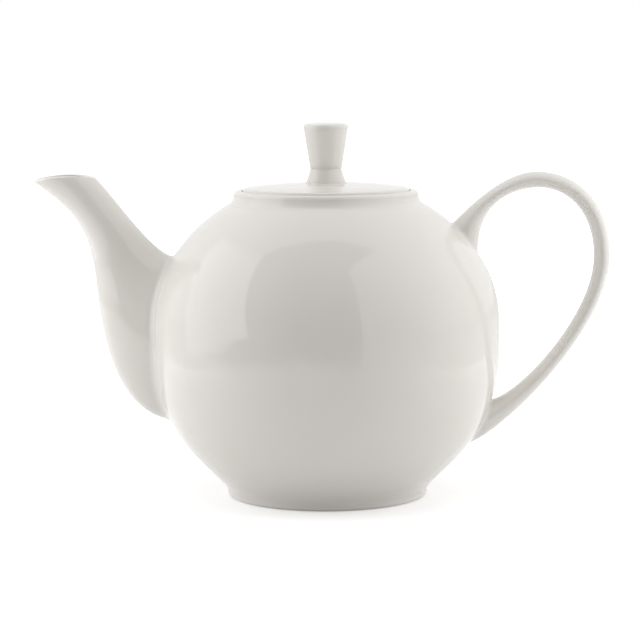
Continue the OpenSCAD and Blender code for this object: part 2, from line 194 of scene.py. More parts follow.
class TeapotStudio(PropertyGroup):
    """Camera, lights and floor."""
    camera_distance: length("Camera distance", 1.0, "Distance of the camera from the pot's axis")
    camera_z: length("Camera height", 0.192, "Height of the camera above the table")
    camera_pitch: turn("Camera pitch", 6.77, "Downward tilt of the camera")
    camera_yaw: turn("Camera yaw", 0.16, "Turn of the camera to the left")
    camera_roll: turn("Camera roll", -0.3, "Roll of the camera")
    camera_lens: FloatProperty(name="Lens", description="Focal length on a 36 mm sensor", default=135.56,
                               min=10.0, unit="CAMERA")
    sky: share("Sky", 0.41, "Strength of the even light from all round", 4.0)
    key: share("Key", 1.6, "Brightness of the card that the glaze reflects on the left", 10.0)
    top: share("Top", 1.1, "Brightness of the lamp overhead", 10.0)
    left: share("Left", 1.72, "Brightness of the lamp on the left", 10.0)
    right: share("Right", 1.72, "Brightness of the lamp on the right", 10.0)
    floor: colour("Floor", (0.82, 0.82, 0.82), "Colour of the floor")
    floor_lift: share("Floor lift", 0.40, "Glow that takes the floor near the pot to plain white", 2.0)
    floor_glow: share("Floor glow", 0.6, "Glow that the camera sees further from the pot", 2.0)


# ---------------------------------------------------------------- outlines

class BodyLine:
    """The body's outline: two arcs below the belly band and two above it, each tangent to the next."""

    def __init__(self, body):
        self.body = body
        self.low_x = body.belly_r - body.low_r
        self.flank_x = self.low_x + (body.low_r - body.flank_r) * cos(body.low_turn)
        joint = acos((body.foot_joint_r - self.flank_x) / body.flank_r)
        drop = (body.low_r - body.flank_r) * sin(body.low_turn)
        self.low_z = body.foot_joint_z + drop + body.flank_r * sin(joint)
        self.flank_z = self.low_z - drop
        self.high_z = self.low_z + body.band_h
        self.high_x = body.belly_r - body.high_r
        self.shoulder_x = self.high_x + (body.high_r - body.shoulder_r) * cos(body.high_turn)
        self.shoulder_z = self.high_z + (body.high_r - body.shoulder_r) * sin(body.high_turn)

    def radius(self, z, inset=0.0):
        """Radius at height z of the surface that lies inset inside the outer one."""
        b = self.body
        if z < self.low_z - (b.low_r - inset) * sin(b.low_turn):
            x, cz, r = self.flank_x, self.flank_z, b.flank_r
        elif z < self.low_z:
            x, cz, r = self.low_x, self.low_z, b.low_r
        elif z < self.high_z:
            return b.belly_r - inset
        elif z < self.high_z + (b.high_r - inset) * sin(b.high_turn):
            x, cz, r = self.high_x, self.high_z, b.high_r
        else:
            x, cz, r = self.shoulder_x, self.shoulder_z, b.shoulder_r
        return x + sqrt(max(0.0, (r - inset) ** 2 - (z - cz) ** 2))

    def points(self, low, high, step, inset=0.0):
        """Points (r, z) up the outline between two heights, spaced evenly along it."""
        return resample([(self.radius(z, inset), z) for z in spread(low, high, 400)], step)

    def foot_blend(self):
        """Points (r, z) of the hollow that leads from the side of the foot up to the flank."""
        b = self.body
        side_inset, side_z, dz = 0.1 * MM, 1.5 * MM, 0.5 * MM
        top = Vector((self.radius(b.foot_blend_z), b.foot_blend_z))
        slope = Vector((top.x - self.radius(b.foot_blend_z - dz), dz)).normalized()
        end = Vector((b.foot_r - side_inset, side_z))
        knee = top - slope * ((top.x - end.x) / slope.x)
        return [tuple((1 - t) ** 2 * end + 2 * (1 - t) * t * knee + t * t * top) for t in spread(0, 1, 40)]

    def normal(self, p):
        """Outward normal of the body's surface at a point on it."""
        r = hypot(p.x, p.y)
        dz = 0.2 * MM
        slope = (self.radius(p.z + dz) - self.radius(p.z - dz)) / (2 * dz)
        return Vector((p.x / r, p.y / r, -slope)).normalized()

    def outside(self, p, inset=0.0):
        """How far a point lies outside the body, measured level; negative inside."""
        return hypot(p.x, p.y) - self.radius(p.z, inset)

    def onto(self, p, lift=0.0):
        """The point of the body's surface nearest to p, raised by lift."""
        for _ in range(4):
            p = p - self.normal(p) * (self.outside(p) * self.normal(p).xy.length)
        return p + self.normal(p) * lift


def spread(start, end, count=12):
    """Evenly spaced numbers from start to end."""
    return [start + (end - start) * k / count for k in range(count + 1)]


def turns(count):
    """Angles evenly spaced round a full turn."""
    return [2 * pi * i / count for i in range(count)]


def resample(line, step):
    """The same line with points about step apart."""
    lengths = [0.0]
    for a, b in zip(line, line[1:]):
        lengths.append(lengths[-1] + hypot(b[0] - a[0], b[1] - a[1]))
    out, k = [], 0
    for s in spread(0, lengths[-1], max(2, ceil(lengths[-1] / step))):
        while k < len(lengths) - 2 and lengths[k + 1] < s:
            k += 1
        u = (s - lengths[k]) / max(1e-12, lengths[k + 1] - lengths[k])
        out.append(tuple(line[k][j] + (line[k + 1][j] - line[k][j]) * u for j in (0, 1)))
    return out


def arc(x, z, r, start, end, steps=8):
    """Points (r, z) of an arc about (x, z), angles in degrees."""
    return [(x + r * cos(a), z + r * sin(a)) for a in map(radians, spread(start, end, steps))]


def ease(t):
    """Eases from 0 to 1 as t goes from 0 to 1."""
    u = min(1.0, max(0.0, t))
    return u * u * (3 - 2 * u)


def bezier(p, c, d, q, t):
    """Point at t of the cubic curve from p to q, which c and d pull."""
    return (1 - t) ** 3 * p + 3 * (1 - t) ** 2 * t * c + 3 * (1 - t) * t * t * d + t ** 3 * q


def curve_through(*knots):
    """Smooth curve of t from 0 to 1 through knots (point, direction in degrees, pull before, pull after)."""
    def heading(turned):
        return Vector((cos(radians(turned)), sin(radians(turned))))

    spans = [(p, p + pull_p * heading(angle_p), q - pull_q * heading(angle_q), q)
             for (p, angle_p, _, pull_p), (q, angle_q, pull_q, _) in zip(knots, knots[1:])]

    def at(t):
        k = min(int(t * len(spans)), len(spans) - 1)
        return bezier(*spans[k], t * len(spans) - k)

    return at


class Tube:
    """An oval tube between two side outlines, low(t) and high(t), that is width(t) wide."""
    RUN_ON = 80 * MM    # length per unit of t by which it runs on past an end into the body
    ARCH_FROM = 0.8     # share of its length from which its sides arch up

    def __init__(self, low, high, width, inward, arch=0.0):
        self.low, self.high, self.width, self.inward, self.arch = low, high, width, inward, arch

    def point(self, t, angle, inset=0.0):
        """Surface point at t along the tube; beyond either end it runs on level into the body."""
        s = min(1.0, max(0.0, t))
        low, high = self.low(s), self.high(s)
        mid, along = (low + high) / 2, high - low
        side = mid + along.normalized() * ((along.length / 2 - inset) * cos(angle))
        over = max(-t, t - 1.0, 0.0) * self.RUN_ON * self.inward
        lift = self.arch * ease((s - self.ARCH_FROM) / (1 - self.ARCH_FROM)) * sin(angle) ** 2
        return Vector((side.x + over, (self.width(s) / 2 - inset) * sin(angle), side.y + lift))

    def crossing(self, line, angle, near, far, inset=0.0, sink=0.0):
        """Value of t between near, inside the body, and far, outside it, where the tube breaks surface."""
        def is_out(t):
            return line.outside(self.point(t, angle, inset), sink) > 0

        inside = near
        for outside in spread(near, far, 60)[1:]:
            if is_out(outside):
                break
            inside = outside
        else:
            raise RuntimeError("a tube never leaves the body")
        for _ in range(24):
            t = (inside + outside) / 2
            if is_out(t):
                outside = t
            else:
                inside = t
        return outside

    def walk(self, t, angle, distance, direction):
        """Value of t that lies a distance along the tube from t."""
        step, gone, p = 0.002 * direction, 0.0, self.point(t, angle)
        while gone < distance:
            t += step
            q = self.point(t, angle)
            gone += (q - p).length
            p = q
        return t


def luting(tube, line, angle, near, far, fillet, steps=14):
    """Slip from a tube onto the body: the t on the tube where it starts, and its points into the body."""
    direction = 1 if far > near else -1
    nudge, swing = 0.004 * direction, 0.02
    pull, crowding = 0.6, 1.6
    film, sink = 0.004 * MM, 0.9 * MM
    hit_t = tube.crossing(line, angle, near, far)
    hit = line.onto(tube.point(hit_t, angle))
    start_t = tube.walk(hit_t, angle, fillet, direction)
    start = tube.point(start_t, angle)
    ahead = (start - tube.point(start_t + nudge, angle)).normalized()
    around = tube.point(start_t, angle + swing) - tube.point(start_t, angle - swing)
    out = ahead.cross(around).normalized()
    centre = sum((tube.point(start_t, angle + k * pi / 2) for k in range(4)), Vector()) / 4
    if out.dot(start - centre) < 0:
        out = -out
    normal = line.normal(hit)
    flow = (out - normal * out.dot(normal)).normalized()
    end = line.onto(hit + flow * fillet, film)
    normal = line.normal(end)
    arrive = (flow - normal * flow.dot(normal)).normalized()
    c = start + ahead * (pull * (hit - start).length)
    d = end - arrive * (pull * (end - hit).length)
    slip = [bezier(start, c, d, end, 1 - (1 - s) ** crowding) for s in spread(0, 1, steps)[1:]]
    return start_t, slip + [end - normal * sink]


def spout_tube(body, spout, line):
    """The spout as a tube, t from 0 at the body to 1 at the mouth."""
    neck_at, crowding = 0.62, 1.8
    tip = Vector((-body.belly_r - spout.reach, spout.tip_z))
    back = tip + Vector((spout.mouth_l, spout.mouth_tilt))
    low = Vector((-line.radius(spout.low_z), spout.low_z))
    high = Vector((-line.radius(spout.high_z), spout.high_z))
    bend = Vector((-body.belly_r - spout.bend_out, spout.low_z + spout.bend_h))
    under = curve_through((low, 172, 0, 22 * MM), (bend, 95, 22 * MM, 24 * MM), (tip, 145, 23 * MM, 0))
    over = curve_through((high, 172, 0, 9 * MM), (back, 136, 10 * MM, 0))

    def width(t):
        return (spout.root_w + (spout.neck_w - spout.root_w) * ease(t / neck_at)
                + (spout.mouth_w - spout.neck_w) * ease(2 * t - 1))

    return Tube(under, lambda t: over(t ** crowding), width, 1, spout.mouth_arch)


def handle_tube(body, handle, line):
    """The handle as a tube, t from 0 at the upper root to 1 at the lower root."""
    root_share, crest_shift = 1 / 6, 0.7 * MM
    crest_x, under_crest_z = body.belly_r + handle.crest_out, handle.top_z - handle.thick
    side_x, side_z = body.belly_r + handle.reach, handle.top_z - handle.drop

    def root(z):
        return Vector((line.radius(z), z))

    outer = curve_through((root(handle.high_z), 45, 0, 9 * MM),
                          (Vector((crest_x, handle.top_z)), 0, 14 * MM, 14 * MM),
                          (Vector((side_x, side_z)), -90, 26 * MM, 31.6 * MM),
                          (root(handle.low_z), 185, 10.7 * MM, 0))
    inner = curve_through((root(handle.high_z - handle.high_root), 92, 0, 21.8 * MM),
                          (Vector((crest_x + crest_shift, under_crest_z)), 0, 9.5 * MM, 11 * MM),
                          (Vector((side_x - handle.thick, side_z)), -90, 20 * MM, 24.8 * MM),
                          (root(handle.low_z + handle.low_root), 185, 10.8 * MM, 0))

    def width(t):
        return handle.root_w + (handle.width - handle.root_w) * ease(min(t, 1 - t) / root_share)

    return Tube(inner, outer, width, -1)


# ------------------------------------------------------------------ meshes

SHARP_ANGLE = radians(38)
POLE_R = 1e-6
POOL = "glaze_pool"


def smooth(bm):
    """Makes all faces smooth and leaves hard edges sharp."""
    for face in bm.faces:
        face.smooth = True
    for edge in bm.edges:
        edge.smooth = len(edge.link_faces) == 2 and edge.calc_face_angle(0.0) < SHARP_ANGLE


def add_object(name, bm, *materials):
    """Turns a bmesh into an object in the scene."""
    mesh = bpy.data.meshes.new(name)
    bm.to_mesh(mesh)
    bm.free()
    for material in materials:
        mesh.materials.append(material)
    item = bpy.data.objects.new(name, mesh)
    bpy.context.scene.collection.objects.link(item)
    return item


def finish_mesh(name, bm, material):
    """Turns a bmesh into a finished piece with smooth faces."""
    bmesh.ops.remove_doubles(bm, verts=bm.verts, dist=1e-7)
    bmesh.ops.recalc_face_normals(bm, faces=bm.faces)
    smooth(bm)
    return add_object(name, bm, material)


def bridge(bm, rings, closed=True):
    """Faces between rows of vertices, closed rings or open ones; a row of one vertex is a pole."""
    for a, b in zip(rings, rings[1:]):
        count = max(len(a), len(b))
        for i in range(count if closed else count - 1):
            j = (i + 1) % count
            corners = (a[i % len(a)], a[j % len(a)], b[j % len(b)], b[i % len(b)])
            bm.faces.new(list(dict.fromkeys(corners)))


def grid(rows, closed_rows=False, caps=False):
    """A bmesh through rings of points; each row is (points, pool)."""
    bm = bmesh.new()
    pool = bm.verts.layers.float.new(POOL)
    rings = []
    for points, depth in rows:
        ring = [bm.verts.new(p) for p in points]
        for vert in ring:
            vert[pool] = depth
        rings.append(ring)
    bridge(bm, rings + rings[:1] if closed_rows else rings)
    if caps:
        for ring in (rings[0], rings[-1]):
            bm.faces.new(ring)
    return bm


def gathered(slip, strength):
    """Points of slip, each with the glaze that gathers in its hollow."""
    return [(p, strength * (1.0 - abs(2 * k / len(slip) - 0.8))) for k, p in enumerate(slip)]


def woven(sides):
    """Rows for grid from sides of (point, pool) along a piece; the side a quarter turn on gives the pools."""
    depths = [depth for _, depth in sides[len(sides) // 4]]
    return [([p for p, _ in ring], depth) for ring, depth in zip(zip(*sides), depths)]


def lathe(name, profile, segments, material, pools, closed=False):
    """A piece turned from a profile of (r, z); pools are (r, z, reach, strength) of gathered glaze."""
    rows = []
    for r, z in profile:
        depth = max(s * max(0.0, 1 - hypot(r - pr, z - pz) / reach) for pr, pz, reach, s in pools)
        ring = [Vector((r * cos(a), r * sin(a), z)) for a in turns(segments if r > POLE_R else 1)]
        rows.append((ring, depth))
    return finish_mesh(name, grid(rows, closed_rows=closed), material)


def cut_holes(piece, cutters):
    """Cuts round holes, each given as (start, end, radius, rounding at start, rounding at end)."""
    facets, past = 40, 1 * MM
    bm = bmesh.new()
    for start, end, radius, soft_start, soft_end in cutters:
        axis = (end - start).normalized()
        side = axis.orthogonal().normalized()
        up = axis.cross(side)
        depth = (end - start).length
        profile = [(0, -past), (radius + soft_start, -past), (radius + soft_start, 0)]
        profile += [(radius + soft_start * (1 - sin(a)), soft_start * (1 - cos(a)))
                    for a in map(radians, range(15, 91, 15))]
        profile += [(radius + soft_end * (1 - cos(a)), depth - soft_end * (1 - sin(a)))
                    for a in map(radians, range(0, 91, 15))]
        profile += [(radius + soft_end, depth + past), (0, depth + past)]
        bridge(bm, [[bm.verts.new(start + axis * h + r * (side * cos(a) + up * sin(a)))
                     for a in turns(facets if r else 1)] for r, h in profile])
    bmesh.ops.recalc_face_normals(bm, faces=bm.faces)
    cutter = add_object("hole_cutter", bm)
    drill = piece.modifiers.new("holes", "BOOLEAN")
    drill.operation = "DIFFERENCE"
    drill.solver = "EXACT"
    drill.object = cutter
    graph = bpy.context.evaluated_depsgraph_get()
    drilled = bpy.data.meshes.new_from_object(piece.evaluated_get(graph), depsgraph=graph)
    piece.modifiers.clear()
    spent = piece.data, cutter.data
    piece.data = drilled
    bpy.data.objects.remove(cutter)
    for mesh in spent:
        bpy.data.meshes.remove(mesh)
    drilled.name = piece.name
    bm = bmesh.new()
    bm.from_mesh(drilled)
    smooth(bm)
    bm.to_mesh(drilled)
    bm.free()
    bm.free()


# --------------------------------------------------------------- materials

def new_group(name, inputs, outputs):
    """An empty shader node group; inputs are {label: default}, outputs the labels of plain numbers."""
    group = bpy.data.node_groups.new(name, "ShaderNodeTree")
    for label, default in inputs.items():
        kind = "NodeSocketVector" if isinstance(default, tuple) else "NodeSocketFloat"
        group.interface.new_socket(label, in_out="INPUT", socket_type=kind).default_value = default
    for label in outputs:
        group.interface.new_socket(label, in_out="OUTPUT", socket_type="NodeSocketFloat")
    return group, group.nodes.new("NodeGroupInput").outputs, group.nodes.new("NodeGroupOutput").inputs


def feed(tree, socket, value):
    """Links a socket to another one, or sets it to a plain value."""
    if isinstance(value, bpy.types.NodeSocket):
        tree.links.new(value, socket)
    else:
        socket.default_value = value


def math_node(tree, operation, first, second, clamp=False):
    """A Math node fed by sockets or numbers; returns its result."""
    node = tree.nodes.new("ShaderNodeMath")
    node.operation = operation
    node.use_clamp = clamp
    feed(tree, node.inputs[0], first)
    feed(tree, node.inputs[1], second)
    return node.outputs[0]


def noise(tree, vector, scale, detail=2.0, roughness=0.5):
    """Noise over the piece; returns its value from 0 to 1."""
    node = tree.nodes.new("ShaderNodeTexNoise")
    for label, value in (("Scale", scale), ("Detail", detail), ("Roughness", roughness), ("Vector", vector)):
        feed(tree, node.inputs[label], value)
    return node.outputs["Fac"]


def mix_colour(tree, factor, first, second):
    """Mixes two colours by a mask; colours are sockets or RGB."""
    node = tree.nodes.new("ShaderNodeMix")
    node.data_type = "RGBA"
    tree.links.new(factor, node.inputs["Factor"])
    for socket, value in ((node.inputs[6], first), (node.inputs[7], second)):
        feed(tree, socket, value if isinstance(value, bpy.types.NodeSocket) else (*value, 1.0))
    return node.outputs[2]


def glaze_coat_group():
    """Group: how a dipped glaze varies over a piece - its tone, its ripple height, its gloss and specks."""
    name = "glaze_coat"
    if name in bpy.data.node_groups:
        return bpy.data.node_groups[name]
    group, source, result = new_group(name, {"Vector": (0, 0, 0), "Ripple": 0.2, "Peel": 0.05, "Gloss": 0.08},
                                      ("Tone", "Height", "Roughness", "Speck"))
    calc = partial(math_node, group)
    place = source["Vector"]
    slow = noise(group, place, 70.0, 0.5)
    cloud = noise(group, place, 34.0)
    fine = noise(group, place, 620.0)
    tone = calc("ADD", calc("MULTIPLY", slow, 0.6), calc("MULTIPLY", cloud, 0.4))
    peel = calc("MULTIPLY", fine, calc("MULTIPLY", source["Peel"], 0.06))
    height = calc("ADD", calc("MULTIPLY", slow, source["Ripple"]), peel)
    rough = calc("MULTIPLY", source["Gloss"], calc("ADD", 0.75, calc("MULTIPLY", cloud, 0.5)))
    cells = group.nodes.new("ShaderNodeTexVoronoi")
    cells.inputs["Scale"].default_value = 85.0
    group.links.new(place, cells.inputs["Vector"])
    dot = calc("LESS_THAN", cells.outputs["Distance"], 0.035)
    rare = calc("GREATER_THAN", noise(group, place, 60.0, 0.0), 0.66)
    for label, value in (("Tone", tone), ("Height", height), ("Roughness", rough),
                         ("Speck", calc("MULTIPLY", dot, rare))):
        group.links.new(value, result[label])
    return group


def level_mask_group():
    """Group: 1 below a height on the piece and 0 above it, with a broken edge."""
    name = "level_mask"
    if name in bpy.data.node_groups:
        return bpy.data.node_groups[name]
    group, source, result = new_group(name, {"Vector": (0, 0, 0), "Height": 1 * MM, "Softness": 0.3 * MM},
                                      ("Mask",))
    calc = partial(math_node, group)
    split = group.nodes.new("ShaderNodeSeparateXYZ")
    group.links.new(source["Vector"], split.inputs[0])
    wander = calc("MULTIPLY", calc("SUBTRACT", noise(group, source["Vector"], 180.0, 3.0), 0.5), 0.5 * MM)
    level = calc("SUBTRACT", source["Height"], calc("ADD", split.outputs["Z"], wander))
    group.links.new(calc("DIVIDE", level, source["Softness"], clamp=True), result["Mask"])
    return group


def place_group(tree, group, **values):
    """Puts a node group in a tree and sets or links its inputs; returns its outputs."""
    node = tree.nodes.new("ShaderNodeGroup")
    node.node_tree = group
    for label, value in values.items():
        feed(tree, node.inputs[label], value)
    return node.outputs


def glazed_porcelain(name, look, bare_edge=False):
    """White porcelain under a clear gloss glaze; the foot also has a ground bare edge."""
    if name in bpy.data.materials:
        return bpy.data.materials[name]
    warmth, speck, speck_strength = (0.985, 0.975, 0.955), (0.42, 0.36, 0.28), 0.35
    material = bpy.data.materials.new(name)
    material.use_nodes = True
    tree = material.node_tree
    calc, mix = partial(math_node, tree), partial(mix_colour, tree)
    shader = tree.nodes["Principled BSDF"].inputs
    place = tree.nodes.new("ShaderNodeTexCoord").outputs["Object"]
    coat = place_group(tree, glaze_coat_group(), Vector=place, Ripple=look.ripple, Peel=look.peel,
                       Gloss=look.roughness)
    pooled = tree.nodes.new("ShaderNodeAttribute")
    pooled.attribute_name = POOL
    base = mix(coat["Tone"], look.white, [c * k for c, k in zip(look.white, warmth)])
    base = mix(pooled.outputs["Fac"], base, look.pool)
    base = mix(calc("MULTIPLY", coat["Speck"], speck_strength), base, speck)
    rough = coat["Roughness"]
    if bare_edge:
        bare_rough, shade = 0.65, 0.86
        mask = place_group(tree, level_mask_group(), Vector=place, Height=look.bare_z,
                           Softness=0.25 * MM)["Mask"]
        grit = noise(tree, place, 1900.0, 3.0, 0.7)
        base = mix(mask, base, mix(grit, [c * shade for c in look.bare], look.bare))
        rough = calc("ADD", calc("MULTIPLY", mask, bare_rough), rough, clamp=True)
    bump = tree.nodes.new("ShaderNodeBump")
    bump.inputs["Strength"].default_value = 1.0
    bump.inputs["Distance"].default_value = 0.6 * MM
    tree.links.new(coat["Height"], bump.inputs["Height"])
    for label, value in (("Base Color", base), ("Roughness", rough), ("Normal", bump.outputs["Normal"])):
        tree.links.new(value, shader[label])
    shader["IOR"].default_value = 1.5
    return material


def glaze(scene):
    """The glazed material that all pieces but the foot share."""
    return glazed_porcelain("porcelain_glaze", scene.teapot_glaze)


def ride(piece, body, slot, *nodes):
    """Ties a finished piece to its body and hides the nodes it stands for; the slot argument is not used."""
    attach(piece, body)
    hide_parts(*nodes)


# --------------------------------------------------------------- operators

class TEAPOT_OT_shell(Operator):
    """Turn the pot's round shell and pierce its strainer."""
    bl_idname = "teapot.shell"
    bl_label = "Shell"

    def execute(self, context):
        scene = context.scene
        sizes, spout = scene.teapot_body, scene.teapot_spout
        line = BodyLine(sizes)
        under_r = sizes.foot_r - sizes.foot_w
        floor_round, corner_w, recess_round = 5 * MM, 6.5 * MM, 1.6 * MM
        inside = [p for p in line.points(sizes.floor_z, sizes.neck_z, 2 * MM, sizes.wall)
                  if p[1] > sizes.floor_z + floor_round]
        wall_r, wall_z = inside[0]
        flat_r = wall_r - corner_w
        corner = [(flat_r + (wall_r - flat_r) * sin(a),
                   sizes.floor_z + (wall_z - sizes.floor_z) * (1 - cos(a)))
                  for a in map(radians, range(10, 90, 10))]
        profile = [(r, sizes.recess_z) for r in (0, 12 * MM, under_r - 6 * MM)]
        profile += arc(under_r - recess_round, sizes.recess_z - recess_round, recess_round, 90, 0)
        profile += [(under_r, sizes.foot_joint_z)]
        profile += [p for p in line.foot_blend() if p[1] >= sizes.foot_joint_z]
        profile += line.points(sizes.foot_blend_z, sizes.neck_z, 1.2 * MM)[1:]
        profile += inside[::-1] + corner[::-1]
        profile += [(r, sizes.floor_z) for r in (flat_r, 20 * MM, 0)]
        pools = [(sizes.foot_r, sizes.foot_joint_z, 2.5 * MM, 0.4)]
        piece = lathe("shell", profile, sizes.segments, glaze(scene), pools)
        middle = (spout.low_z + spout.high_z) / 2
        holes = []
        for row in (-1, 0, 1):
            y = row * sizes.hole_pitch * sin(radians(60))
            count = sizes.hole_row - abs(row)
            for i in range(count):
                z = middle + (i - (count - 1) / 2) * sizes.hole_pitch
                radii = (line.radius(z), line.radius(z, sizes.wall))
                ends = [Vector((-sqrt(r ** 2 - y * y), y, z)) for r in radii]
                holes.append((*ends, sizes.hole_d / 2, 0.3 * MM, 0.5 * MM))
        cut_holes(piece, holes)
        ride(piece, "pot", "glaze", "pot_body")
        return {"FINISHED"}


class TEAPOT_OT_foot(Operator):
    """Turn the foot ring with the hollow above it and its ground edge."""
    bl_idname = "teapot.foot"
    bl_label = "Foot ring"

    def execute(self, context):
        scene = context.scene
        sizes = scene.teapot_body
        inner = sizes.foot_r - sizes.foot_w
        blend = BodyLine(sizes).foot_blend()
        side = [p for p in blend if p[1] < sizes.foot_joint_z]
        edge_r, edge_z = side[0]
        flare = edge_r - sizes.foot_rest_r
        rest_flat, rest_soft, lift = 1.1 * MM, 0.35 * MM, 0.1 * MM
        inner_edge = ((0.3, 1.4), (0.6, 0.7), (0.85, 0.25), (1.2, 0.04), (1.6, 0))
        profile = [(inner, sizes.foot_joint_z)] + [(inner + r * MM, z * MM) for r, z in inner_edge]
        profile += [(sizes.foot_rest_r - rest_flat, 0), (sizes.foot_rest_r - rest_soft, 0.02 * MM)]
        profile += [(sizes.foot_rest_r + flare * sin(a), lift + (edge_z - lift) * (1 - cos(a)))
                    for a in map(radians, range(6, 86, 8))]
        profile += blend[:len(side) + 1]
        pools = [(sizes.foot_r, sizes.foot_joint_z, 2.5 * MM, 0.4)]
        material = glazed_porcelain("porcelain_foot", scene.teapot_glaze, bare_edge=True)
        piece = lathe("foot", profile, sizes.segments, material, pools, closed=True)
        ride(piece, "pot", "foot_ring", "foot_ring")
        return {"FINISHED"}


class TEAPOT_OT_rim(Operator):
    """Turn the collar with its rounded rim and the seat for the lid."""
    bl_idname = "teapot.rim"
    bl_label = "Rim"

    def execute(self, context):
        scene = context.scene
        sizes = scene.teapot_body
        line = BodyLine(sizes)
        soft = sizes.collar_fillet
        hollow_r = sizes.collar_r + soft
        across = hollow_r - line.shoulder_x
        hollow_z = line.shoulder_z + sqrt((sizes.shoulder_r + soft) ** 2 - across ** 2)
        touch_at = sizes.shoulder_r / (sizes.shoulder_r + soft)
        touch_z = line.shoulder_z + (hollow_z - line.shoulder_z) * touch_at
        start = degrees(atan2(touch_z - hollow_z, line.radius(touch_z) - hollow_r)) + 360
        outer_round, inner_round, seat_round, mouth_round = 1.7 * MM, 0.8 * MM, 0.3 * MM, 0.5 * MM
        profile = [(sizes.mouth_r, sizes.neck_z)]
        profile += line.points(sizes.neck_z, touch_z, 0.4 * MM)
        profile += arc(hollow_r, hollow_z, soft, start, 180, 10)[1:]
        profile += arc(sizes.collar_r - outer_round, sizes.rim_z - outer_round, outer_round, 0, 90, 10)
        profile += arc(sizes.seat_r + inner_round, sizes.rim_z - inner_round, inner_round, 90, 180, 8)
        profile += arc(sizes.seat_r - seat_round, sizes.seat_z + seat_round, seat_round, 0, -90, 4)
        profile += arc(sizes.mouth_r + mouth_round, sizes.seat_z - mouth_round, mouth_round, 90, 180, 5)
        pools = [(sizes.collar_r, hollow_z - 1.5 * MM, 2.0 * MM, 0.25),
                 (sizes.seat_r, sizes.seat_z, 1 * MM, 1.0)]
        piece = lathe("rim", profile, sizes.segments, glaze(scene), pools, closed=True)
        ride(piece, "pot", "glaze", "rim_collar")
        return {"FINISHED"}


class TEAPOT_OT_spout(Operator):
    """Loft the hollow spout and lute it onto the shell."""
    bl_idname = "teapot.spout"
    bl_label = "Spout"

    def execute(self, context):
        scene = context.scene
        spout, line = scene.teapot_spout, BodyLine(scene.teapot_body)
        tube = spout_tube(scene.teapot_body, spout, line)
        columns, outer_rows, inner_rows, lip_rows = 112, 84, 60, 9
        mouth_along = (tube.high(1) - tube.low(1)).normalized()
        lift = Vector((-mouth_along.y, 0, mouth_along.x))
        sides = []
        for angle in turns(columns):
            fillet = spout.fillet * (0.3 + 0.7 * abs(sin(angle)) + 0.4 * max(0.0, -cos(angle)) ** 3)
            start_t, slip = luting(tube, line, angle, -0.08, 0.8, fillet)
            side = gathered(slip, 1.0)[::-1]
            side += [(tube.point(t, angle), max(0.0, 0.35 - k / 12))
                     for k, t in enumerate(spread(start_t, 1, outer_rows))]
            lip_h = spout.lip_h + spout.tip_h * ((1 - cos(angle)) / 2) ** 3
            for bow in spread(0, pi, lip_rows)[1:-1]:
                edge = tube.point(1, angle, spout.wall * (1 - cos(bow)) / 2)
                side.append((edge + lift * (lip_h * sin(bow) ** 0.7), 0.0))
            root_t = tube.crossing(line, angle, -0.12, 0.8, spout.wall, 0.6 * MM)
            side += [(tube.point(t, angle, spout.wall), 0.2 * k / inner_rows)
                     for k, t in enumerate(spread(1, root_t, inner_rows))]
            sides.append(side)
        piece = finish_mesh("spout_tube", grid(woven(sides), closed_rows=True), glaze(scene))
        ride(piece, "pot", "glaze", "spout")
        return {"FINISHED"}


class TEAPOT_OT_handle(Operator):
    """Sweep the loop handle and lute both its roots onto the shell."""
    bl_idname = "teapot.handle"
    bl_label = "Handle"

    def execute(self, context):
        scene = context.scene
        handle, line = scene.teapot_handle, BodyLine(scene.teapot_body)
        tube = handle_tube(scene.teapot_body, handle, line)
        columns, loop_rows, pooling = 72, 150, 0.8
        sides = []
        for angle in turns(columns):
            fillet = handle.fillet * (0.35 + 0.65 * abs(sin(angle)))
            below = handle.fillet * 0.8 * max(0.0, cos(angle)) ** 3
            high_t, high_slip = luting(tube, line, angle, -0.1, 0.4, fillet)
            low_t, low_slip = luting(tube, line, angle, 1.1, 0.6, fillet + below)
            loop = [(tube.point(t, angle), 0.0) for t in spread(high_t, low_t, loop_rows)]
            sides.append(gathered(high_slip, pooling)[::-1] + loop + gathered(low_slip, pooling))
        piece = finish_mesh("handle_loop", grid(woven(sides), caps=True), glaze(scene))
        ride(piece, "pot", "glaze", "handle")
        return {"FINISHED"}


